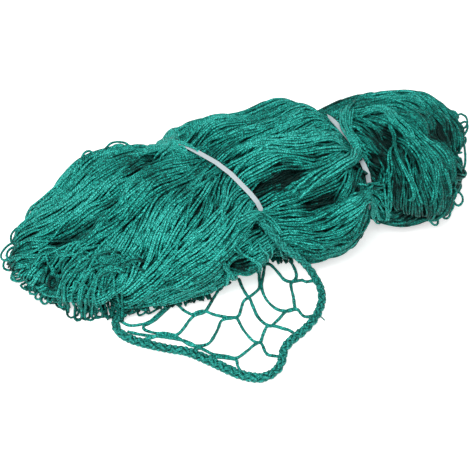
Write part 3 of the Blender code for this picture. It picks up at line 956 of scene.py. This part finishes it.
class Obstacles:
    """What the strands lie clear of: the floor, the rope and the two ties."""

    def __init__(self, nodes):
        self.rope_tree = tree_of(smooth_path(ROPE_ROUTE, 1.5))
        self.ties = []
        for name, number in TIE_SECTIONS.items():
            mesh = nodes[name].data
            places = to_plan(np.array([vert.co for vert in mesh.vertices]))
            faces = [tuple(face.vertices) for face in mesh.polygons]
            slant = math.radians(SECTIONS[number].slant)
            along = np.array((math.cos(slant), math.sin(slant), 0.0))
            middle = 0.5 * (places.min(axis=0) + places.max(axis=0))
            middle += along * (np.median(places @ along) - middle @ along)
            self.ties.append((BVHTree.FromPolygons(places.tolist(), faces), middle, along))

    def past_tie(self, point, radius, loose, tree, middle, along):
        """A point beside a tie, moved in under it or, where it lies well outside it, over it."""
        past = (point - middle) @ along
        if abs(past) > TIE_REACH:
            return point
        inner = middle + along * max(-0.4 * TIE_WIDTH, min(0.4 * TIE_WIDTH, past))
        out = point - middle - along * past
        far = np.linalg.norm(out)
        place, _, _, inside = tree.ray_cast(Vector(inner), Vector(out / far))
        if place is None:
            return point
        ramp = TIE_SLOPE * max(abs(past) - TIE_WIDTH / 2 - radius, 0.0)
        if far < inside + (LOOSE_OVER_FROM if loose else OVER_FROM) + ramp:
            far = min(far, inside - UNDER_TIE - radius + ramp)
        else:
            far = max(far, inside + OVER_TIE + radius - ramp)
        return middle + along * past + unit(out) * far

    def clear(self, path, radius, loose=False):
        """The path moved out of the obstacles."""
        path = np.array(path, float)
        for i, point in enumerate(path):
            for tie in self.ties:
                point = self.past_tie(point, radius, loose, *tie)
            near, _, apart = self.rope_tree.find(point)
            room = ROPE / 2 + radius + 0.1
            if apart < room:
                near = np.array(near)
                point = near + unit(point - near + (0, 0, 1e-3)) * room
            point[2] = max(point[2], radius + 0.1)
            path[i] = point
        return path


def add_pair(tubes, guide, obstacles, line, normals, layer):
    """Two strands along a line. They touch at every second mesh and bow apart between."""
    rng = tubes.rng
    count = len(line)
    sides = sideways(line, normals)
    along = np.arange(count) * RING_STEP + rng.uniform(0, 2 * MESH)
    apart = 0.5 - 0.5 * np.cos(2 * np.pi * along / (2 * MESH))
    buried = near_ends(count) ** 1.5
    loose = layer.loose
    # Painted light and shade: the layer's and the surface's, with painted shade where the strand dives under
    # at its ends
    light = layer.light + guide.light_at(line) - END_SHADE * buried + wander(rng, count, 10, 0.05)
    sway = wander(rng, count, 5, 0.7 * loose)
    height = wander(rng, count, 9, 0.5 * loose)
    bow = rng.uniform(0.1, 1.1)
    for way in (-1, 1):
        off = way * (PACKED + bow * apart**0.7) + sway + wander(rng, count, 4, 0.45 * loose)
        lift = height + wander(rng, count, 4, 0.5 * loose) + rng.normal(0, 0.4 * loose)
        # A strand that lifts higher out of the others gets more painted light
        seen = light + 0.09 * lift + rng.normal(0, 0.07)
        lift -= layer.depth + DIVE * buried
        path = line + sides * off[:, None] + normals * lift[:, None]
        radius = PACKED * rng.uniform(0.92, 1.06)
        tubes.add(obstacles.clear(path, radius), normals, radius, seen)


def make_hank_strands(guide, obstacles, material):
    """The strands on the hank in pieces of a handy size."""
    pieces = []
    for layer in LAYERS:
        rng = np.random.default_rng(layer.seed + 100)
        lines = layer_lines(guide, layer)
        lines.sort(key=lambda pair: pair[0][:, 0].mean())
        half = len(lines) // 2
        for part, chosen in (("left", lines[:half]), ("right", lines[half:])):
            tubes = Tubes(rng, sides=5)
            for line, normals in chosen:
                add_pair(tubes, guide, obstacles, line, normals, layer)
            pieces.append(tubes.build(f"net_{layer.name}_{part}", material))
    return pieces


def make_core(guide, material):
    """The mass of netting inside the hank, seen only in the gaps between strands."""
    depth = np.minimum(CORE_DEPTH, 0.9 * guide.points[:, 2] + 1.0)
    places = guide.points - guide.normals * depth[:, None]
    places[:, 0] = np.maximum(places[:, 0], CORE_END)
    places[:, 2] = np.maximum(places[:, 2], 0.2)
    return make_mesh("net_core", places, guide.faces.ravel(), np.full(len(guide.faces), 4), material)


# The edge rope


def make_rope(material):
    """A rope braided of eight strands, four each way, round a core."""
    rng = np.random.default_rng(21)
    tubes = Tubes(rng)
    path = smooth_path(ROPE_ROUTE, 1.8)
    along = np.arange(len(path)) * np.linalg.norm(path[1] - path[0])
    fat = 1 + 0.1 * np.exp(-0.5 * ((along - ROPE_FATTEST) / 75) ** 2) + wander(rng, len(path), 14, 0.03)
    middle = ROPE / 2 + 0.35 - BRAID_STRAND - BRAID_WEAVE
    path[:, 2] = np.maximum(path[:, 2], fat * (middle + BRAID_STRAND + BRAID_WEAVE) + 0.1)
    ups = turned_least(path)
    sides = np.cross(tangents(path), ups)
    for way in (-1, 1):
        for k in range(4):
            angle = way * 2 * np.pi * along / BRAID_LAY + k * np.pi / 2
            over = way * np.cos(8 * np.pi * along / BRAID_LAY)
            reach = fat * (middle + BRAID_WEAVE * over)
            out = sides * np.cos(angle)[:, None] + ups * np.sin(angle)[:, None]
            # Painted light where a strand lies over the others and the higher it lies, painted shade where it
            # passes under
            light = 0.56 + 0.4 * over + np.clip(path[:, 2] / 150, 0, 0.3) + wander(rng, len(path), 3, 0.1)
            tubes.add(path + out * reach[:, None], out, fat * BRAID_STRAND, light)
    # The core is painted dark, as shade between the strands
    tubes.add(path[::2], ups[::2], middle, 0.1)
    return tubes.build("border_rope_braid", material), path


# The open mesh of the flap


def make_flap(obstacles, material):
    """The mesh that lies open in front of the hank. Its threads end inside the rope and under the hank."""
    rng = np.random.default_rng(31)
    tubes = Tubes(rng)
    for thread in FLAP_THREADS:
        path = smooth_path([(x, y, FLAP_RADIUS + 0.3) for x, y in thread], 3.0)
        for axis in (0, 1):
            path[:, axis] += wander(rng, len(path), 5, 0.35) - 0.5
        near_rope = [obstacles.rope_tree.find(point)[2] < ROPE / 2 + 1 for point in path]
        path[:, 2] += np.convolve(near_rope, np.ones(5) / 5, "same") * 2.5
        thick = FLAP_RADIUS * (1 + wander(rng, len(path), 4, 0.05))
        tubes.add(path, turned_least(path), thick, 0.62 + wander(rng, len(path), 6, 0.08))
    stray = smooth_path(STRAY_THREAD, 1.5)
    tubes.add(stray, turned_least(stray), 0.8, 0.5)
    return tubes.build("flap_mesh", material)


# Loose strands on the hank


def on_guide(guide, path, lift):
    """A path kept at least `lift` above the hank's surface, and the normals there."""
    path = np.array(path, float)
    normals = []
    for i, point in enumerate(path):
        near, normal, _ = guide.near(point)
        short = lift - (point - near) @ normal
        if 0 < short < DEEPEST or (-HIGHEST < short < 0 and min(near[2], point[2]) > LOW):
            path[i] = point + normal * short
        normals.append(normal)
    return path, unit(normals)


def loose_offsets(rng, loose, share, count):
    """How far aside and above its bunch's middle line a strand lies at each of `count` points."""
    if loose.twist:
        turn = 2 * np.pi * (np.arange(count) * LOOSE_STEP * loose.twist / 100 + share)
        off, height = loose.width / 2 * np.cos(turn), loose.width / 2 * np.sin(turn)
    else:
        off, height = np.full(count, loose.width * share), np.full(count, rng.normal(0, 0.5))
    if loose.count >= SPREADING:
        off = off * (1 + 0.7 * np.abs(np.linspace(-1, 1, count)) ** 3)
    off = off + wander(rng, count, 6, 0.7)
    return off, height + wander(rng, count, 6, 0.4)


def make_loose_strands(guide, obstacles, material):
    """Bunches and single strands that lie on the others, one under or over a tie here and there."""
    rng = np.random.default_rng(61)
    tubes = Tubes(rng)
    for loose in LOOSE:
        middle = loose.points
        for _ in range(2):
            middle, normals = on_guide(guide, smooth_path(middle, LOOSE_STEP), loose.lift - TWINE / 2)
        sides = sideways(middle, normals)
        for k in range(loose.count):
            off, height = loose_offsets(rng, loose, (k + 0.5) / loose.count - 0.5, len(middle))
            path = middle + sides * off[:, None] + normals * height[:, None]
            cut = len(middle) // 5 if loose.count >= SPREADING else 0
            first, last = rng.integers(0, 1 + cut, 2)
            path, up = path[first:len(middle) - last], normals[first:len(middle) - last]
            buried = near_ends(len(path)) ** 1.5
            path = path - up * (LOOSE_DIVE * buried)[:, None]
            # The loose strands lie on top and get more painted light, with painted shade where their ends
            # dive in
            light = 0.92 + rng.normal(0, 0.06) - END_SHADE * buried + 0.7 * guide.light_at(path)
            path = obstacles.clear(path, TWINE / 2, loose=True)
            tubes.add(path, up, TWINE / 2 * rng.uniform(0.9, 1.0), light)
    return tubes.build("net_loose", material)


def make_crossing(guide, obstacles, material):
    """Single strands that lie across the others all over the hank."""
    rng = np.random.default_rng(62)
    tubes = Tubes(rng, sides=5)
    room = Room(20)
    for number in range(CROSSINGS):
        seed = guide.points[rng.integers(len(guide.points))]
        if seed[2] < CROSSING_HEIGHT or room.taken(seed, CROSSINGS_APART):
            continue
        lean = math.radians(rng.choice((-1, 1)) * rng.uniform(5, 17))
        line, normals = trace_both_ways(guide, Room(20), seed, lean, rng.uniform(30, 110), 1, 0)
        if len(line) < 6:
            continue
        room.add(seed, number)
        ends = near_ends(len(line))
        lift = wander(rng, len(line), 8, 0.5) + 0.3 - 4.5 * ends**1.5
        aside = wander(rng, len(line), 5, 2.2)
        path = line + normals * lift[:, None] + sideways(line, normals) * aside[:, None]
        # Painted light and shade as on the hank, with painted shade where the ends dive in
        light = 0.74 + guide.light_at(line) - END_SHADE * ends + rng.normal(0, 0.05)
        tubes.add(obstacles.clear(path, TWINE / 2), normals, TWINE / 2, light)
    return tubes.build("net_crossing", material)


# Loops that stand out of the hank's ends


def fan_point(fan, tree, share):
    """The hank's surface at a share of a fan, and the direction straight out of it."""
    angle = math.radians(fan.first_angle + (fan.last_angle - fan.first_angle) * share)
    height = fan.first_height + (fan.last_height - fan.first_height) * share
    away = np.array((math.cos(angle), math.sin(angle), 0.0))
    middle = np.array((fan.x, fan.y, height))
    return np.array(tree.ray_cast(Vector(middle + away * 250), Vector(-away))[0]), away


def make_end_loops(name, guide, obstacles, seed, material):
    """The loops of one end, side by side in a fan."""
    rng = np.random.default_rng(seed)
    fan = LOOP_FANS[name]
    tubes = Tubes(rng)
    for i in range(fan.count):
        start = (i + rng.uniform(-0.2, 0.3)) / fan.count
        end = start + rng.uniform(0.9, 1.5) / fan.count
        reach = fan.reach * rng.uniform(0.35, 1.25)
        drop = rng.uniform(-0.3, 0.5)
        points = []
        for t in np.linspace(0, 1, 9):
            swing = t - 0.13 * math.sin(2 * math.pi * t)
            place, away = fan_point(fan, guide.tree, min(max(start + (end - start) * swing, 0), 1))
            out = reach * math.sin(math.pi * t) ** 0.6 - 5 * (abs(t - 0.5) * 2) ** 6
            point = place + away * out
            point[2] += (rng.normal(0, 0.6) - drop * out) if out > 0 else 3
            points.append(point)
        path = obstacles.clear(smooth_path(points, 3.0), TWINE / 2)
        tubes.add(path, turned_least(path), TWINE / 2, rng.uniform(0.45, 0.75))
    return tubes.build(f"{name}_twine", material)


def point_at(path, share):
    """A path's point at a share of its length."""
    return path[int(np.clip(share, 0, 1) * (len(path) - 1))]


def fall_side(guide, rng, top, foot):
    """One side of a falling loop: points from its top down to near its foot, on the hank or the floor."""
    sway = np.array((0.5, 0.8, 0)) * rng.normal(0, 5)
    points = []
    for t in np.linspace(rng.uniform(-0.4, 0.3), 1, 8)[:-1]:
        x, y, _ = top * (1 - t) + foot * t + sway * math.sin(2.5 * math.pi * t)
        hit = guide.tree.ray_cast(Vector((x, y, 300)), Vector((0, 0, -1)))[0]
        points.append((x, y, hit[2] + 1.5 if hit else 2.0))
    return points


def make_falls(guide, obstacles, material):
    """Strands that fall over the front of the left end, and turn back in loops on the floor."""
    rng = np.random.default_rng(65)
    tubes = Tubes(rng)
    tops, feet = smooth_path(FALL_TOP, 1.0), smooth_path(FALL_FOOT, 1.0)
    for i in range(FALLS):
        share = (i + rng.uniform(0, 1)) / FALLS
        wide = rng.uniform(0.03, 0.09)
        start = share + 0.2 + rng.normal(0, 0.12)
        near, far = point_at(feet, share - wide), point_at(feet, share + wide)
        down = fall_side(guide, rng, point_at(tops, start), near)
        back = fall_side(guide, rng, point_at(tops, start + rng.normal(0, 0.10)), far)
        away = unit(near + far - 2 * np.array(FALL_MIDDLE))
        tip = 0.5 * (near + far) + away * rng.uniform(1, 9)
        near, far = near + away * rng.uniform(-3, 3), far + away * rng.uniform(-3, 3)
        path = smooth_path(down + [near, tip, far] + back[::-1], 3.5)
        path = smooth_path(on_guide(guide, path, rng.uniform(0.5, 4.0))[0][::2], 3.5)
        for axis in (0, 1):
            path[:, axis] += wander(rng, len(path), 5, 1.0)
        ups = turned_least(path)
        buried = near_ends(len(path), 3) ** 1.5
        path[:, 2] -= LOOSE_DIVE * buried
        # Painted shade where the ends dive in and near the floor
        light = rng.uniform(0.45, 0.78) - END_SHADE * buried - 0.25 * np.exp(-path[:, 2] / 14)
        tubes.add(obstacles.clear(path, TWINE / 2), ups, TWINE / 2 * rng.uniform(0.9, 1.0), light)
    return tubes.build("net_falls", material)


def make_hanging_loops(obstacles, material):
    """Longer loops that hang clear of the hank's ends and back."""
    rng = np.random.default_rng(63)
    tubes = Tubes(rng)
    for points in HANGING:
        path = obstacles.clear(smooth_path(points, 3.0), TWINE / 2)
        tubes.add(path, turned_least(path), TWINE / 2, rng.uniform(0.5, 0.7))
    return tubes.build("net_hanging_loops", material)


def make_tufts(obstacles, material):
    """Small crumpled loops that show along the floor under the hank's front edge."""
    rng = np.random.default_rng(64)
    tubes = Tubes(rng)
    places = np.concatenate([smooth_path(line, 2.6) for line in TUFT_LINES])
    clumps = np.clip(0.55 + wander(rng, len(places), 8, 0.5), 0.15, 1.2)
    for place, clump in zip(places, clumps):
        turn, tilt = rng.uniform(-1.0, 1.0), rng.uniform(-0.2, 1.2)
        across = np.array((math.cos(turn), math.sin(turn), 0.0))
        out = np.array((math.sin(turn) * math.cos(tilt), -math.cos(turn) * math.cos(tilt), math.sin(tilt)))
        middle = place + rng.uniform((-4, -7, -3), (4, 5, 8)) * (1, clump, clump)
        size = rng.uniform(2.5, 7) * clump
        points = [middle - across * 3 + (0, 14, 4)]
        for angle in np.radians((-40, 0, 45, 90, 135, 180, 220)):
            away = across * math.cos(math.pi - angle) + out * math.sin(angle)
            points.append(middle + size * away + rng.normal(0, 1.0, 3))
        points.append(middle + across * 3 + (0, 14, 4))
        path = obstacles.clear(smooth_path(points, 2.2), PACKED)
        # The tufts are painted dark, as shade under the hank's edge
        tubes.add(path, turned_least(path), PACKED, rng.uniform(0.15, 0.55))
    return tubes.build("net_tufts", material)


# Materials

# The first colour is painted shade: the yarn's colour in its stitches' grooves and at low levels of painted
# light
YARN_IN_SHADE = (0.0002, 0.009, 0.008)
NET_GREEN = (0.014, 0.57, 0.46)
ROPE_GREEN = (0.014, 0.50, 0.41)
PAINTED_GLINT = (0.065, 0.56, 0.485)  # painted highlight where the light catches the twine's fibres


def feed(tree, socket, value):
    """Gives a node's socket a number, a colour or what another node gives."""
    if isinstance(value, Amount):
        tree.links.new(value.socket, socket)
    elif isinstance(value, tuple):
        socket.default_value = (*value, 1)
    else:
        socket.default_value = value


class Amount:
    """A number or colour that varies over a surface. Arithmetic with it adds nodes to the material."""

    def __init__(self, tree, kind, inputs, output=0, **settings):
        self.tree = tree
        node = tree.nodes.new(kind)
        for name, value in settings.items():
            setattr(node, name, value)
        for key, value in inputs.items():
            feed(tree, node.inputs[key], value)
        self.socket = node.outputs[output]

    def math(self, operation, *others, clamp=False):
        """What a math node makes of this and of another value, where it takes one."""
        inputs = dict(enumerate((self, *others)))
        return Amount(self.tree, "ShaderNodeMath", inputs, operation=operation, use_clamp=clamp)

    def __add__(self, other):
        return self.math("ADD", other)

    def __sub__(self, other):
        return self.math("SUBTRACT", other)

    def __mul__(self, other):
        return self.math("MULTIPLY", other)

    def __truediv__(self, other):
        return self.math("DIVIDE", other)

    def __pow__(self, other):
        return self.math("POWER", other)

    def floor(self):
        """The whole number below this one."""
        return self.math("FLOOR")

    def fract(self):
        """How far this lies above the whole number below."""
        return self.math("FRACT")

    def arch(self):
        """Half a wave: 0 where this is 0 or 1, and 1 halfway."""
        return (self * math.pi).math("SINE")

    def part(self, axis):
        """One coordinate of a place."""
        return Amount(self.tree, "ShaderNodeSeparateXYZ", {0: self}, axis)


class Surface:
    """A material in the making."""

    def __init__(self, name):
        self.material = bpy.data.materials.new(name)
        self.material.use_nodes = True
        self.tree = self.material.node_tree

    def add(self, kind, inputs=None, output=0, **settings):
        """An output of a new node."""
        return Amount(self.tree, kind, inputs or {}, output, **settings)

    def noise(self, place, scale, detail=2.0, dimensions="3D"):
        """Noise from 0 to 1."""
        inputs = {"Vector": place, "Scale": scale, "Detail": detail}
        return self.add("ShaderNodeTexNoise", inputs, noise_dimensions=dimensions)

    def mix(self, share, first, second):
        """A colour between two others."""
        return self.add("ShaderNodeMix", {0: share, 6: first, 7: second}, 2, data_type="RGBA")

    def bump(self, height, distance):
        """The normals of a relief."""
        return self.add("ShaderNodeBump", {"Strength": 1.0, "Distance": distance, "Height": height})

    def finish(self, values):
        """The material, with these values for the shader's sockets."""
        shader = self.tree.nodes["Principled BSDF"]
        for name, value in values.items():
            feed(self.tree, shader.inputs[name], value)
        return self.material


def twine_material(name, light_yarn, stitches, columns, slope):
    """Knitted or laid twine: columns of V-shaped stitches, with painted shade in their grooves.
    The weave's row says its level of painted light and shade, and the palest stitch tops get a painted
    highlight.
    """
    surface = Surface(name)
    weave = surface.add("ShaderNodeUVMap", uv_map="weave")
    along, rows = weave.part(0), weave.part(1) * WEAVE_ROWS
    level = ((rows / WEAVE_KINDS).floor() + 0.5) / WEAVE_LEVELS
    around = (rows.fract() * columns).fract()

    patch_place = surface.add("ShaderNodeCombineXYZ", {0: along * 38.0, 1: rows * 1.7})
    patch = surface.noise(patch_place, 1.0, 1.0, "2D")
    vee = (around - 0.5).math("ABSOLUTE")
    kind = rows.floor() * 0.37
    phase = along * stitches + kind + vee * slope + patch * 1.3
    height = phase.fract().arch() * around.arch() ** 0.5

    fibre = surface.noise(weave, 120.0, dimensions="2D")
    share = height * 1.05 + (fibre - 0.42) * 1.2 + (patch - 0.51) * 1.9
    share = share.math("MAXIMUM", 0.04).math("MULTIPLY", level ** 1.2, clamp=True)
    return surface.finish({
        "Base Color": surface.mix(share ** 4.0, surface.mix(share, YARN_IN_SHADE, light_yarn), PAINTED_GLINT),
        "Roughness": height * -0.25 + 0.7,
        "Normal": surface.bump(height, 0.9 * MM),
        "Specular IOR Level": 0.17,
    })


def mottled_material(name, scale, first, second, relief, roughness):
    """A surface with spots or streaks between two colours, which stand out a little."""
    surface = Surface(name)
    noise = surface.noise(surface.add("ShaderNodeTexCoord", output="Object"), scale)
    return surface.finish({
        "Base Color": surface.mix(noise, first, second),
        "Roughness": roughness,
        "Normal": surface.bump(noise, relief * MM),
    })


def core_material():
    """Painted shade for the inside of the hank: dark, streaked like strands in shade."""
    return mottled_material("net_inside", 220.0, (0.0005, 0.012, 0.010), (0.002, 0.05, 0.04), 1.5, 0.9)


def tie_material():
    """Pale nylon with fine scratches."""
    return mottled_material("tie_nylon", 900.0, (0.33, 0.385, 0.41), (0.43, 0.49, 0.51), 0.1, 0.38)


def floor_material():
    """Matt white that glows a little, so that it looks as white as the photograph's ground."""
    white = (1.0, 1.0, 1.0)
    return Surface("floor_white").finish({
        "Base Color": (0.8, 0.8, 0.8),
        "Emission Color": white,
        "Emission Strength": 0.55,
        "Roughness": 0.9,
    })


# Stage


def make_camera():
    """The camera, at the photograph's viewing angle."""
    turn, rise = math.radians(CAMERA_AZIMUTH), math.radians(CAMERA_ELEVATION)
    back = Vector((math.sin(turn) * math.cos(rise), -math.cos(turn) * math.cos(rise), math.sin(rise)))
    data = bpy.data.cameras.new("camera")
    data.lens = CAMERA_LENS
    data.sensor_width = CAMERA_SENSOR
    camera = make_object("camera", data)
    camera.location = Vector(to_frame(np.zeros(3))) + back * CAMERA_DISTANCE
    camera.rotation_euler = back.to_track_quat("Z", "Y").to_euler()
    bpy.context.scene.camera = camera


def make_stage():
    """The floor, the pale surroundings and two soft lights."""
    mesh = bpy.data.meshes.new("floor")
    corners = [(x * FLOOR_REACH, y * FLOOR_REACH, 0) for x, y in ((-1, -1), (1, -1), (1, 1), (-1, 1))]
    mesh.from_pydata(corners, [], [(0, 1, 2, 3)])
    mesh.materials.append(floor_material())
    make_object("floor", mesh)
    world = bpy.data.worlds.new("world")
    world.use_nodes = True
    colour, strength = world.node_tree.nodes["Background"].inputs[:2]
    colour.default_value = (1, 1, 1, 1)
    strength.default_value = WORLD_STRENGTH
    bpy.context.scene.world = world
    bpy.context.scene.view_settings.view_transform = "Standard"
    for lamp in LAMPS:
        data = bpy.data.lights.new(lamp.name, "AREA")
        data.size = lamp.size
        data.energy = lamp.power
        light = make_object(lamp.name, data)
        light.location = lamp.place
        light.rotation_euler = Vector(lamp.place).to_track_quat("Z", "Y").to_euler()


def main():
    """Dresses the part and sets the stage."""
    for obj in list(bpy.data.objects):
        bpy.data.objects.remove(obj)
    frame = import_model()
    make_camera()
    nodes = frame["nodes"]

    netting = twine_material("netting_twine", NET_GREEN, stitches=27, columns=2, slope=2.2)
    rope_fibre = twine_material("rope_fibre", ROPE_GREEN, stitches=36, columns=3, slope=2.4)

    rope, rope_path = make_rope(rope_fibre)
    finish_piece(rope, "rope", "border_rope")
    world_path = to_frame(rope_path)

    guide = Guide(nodes["net_bundle"], np.random.default_rng(5))
    obstacles = Obstacles(nodes)
    finish_piece(make_core(guide, core_material()), "netting", "net_bundle")
    for piece in make_hank_strands(guide, obstacles, netting):
        finish_piece(piece, "netting", "net_bundle")
    for make in (make_loose_strands, make_crossing, make_falls):
        finish_piece(make(guide, obstacles, netting), "netting")
    for make in (make_hanging_loops, make_tufts):
        finish_piece(make(obstacles, netting), "netting")
    finish_piece(make_flap(obstacles, netting), "netting", "loose_mesh")
    for seed, name in enumerate(LOOP_FANS):
        finish_piece(make_end_loops(name, guide, obstacles, 50 + seed, netting), "netting", name)
    nylon = tie_material()
    for name in TIE_SECTIONS:
        for slot in nodes[name].material_slots:
            slot.material = nylon
    make_stage()


main()
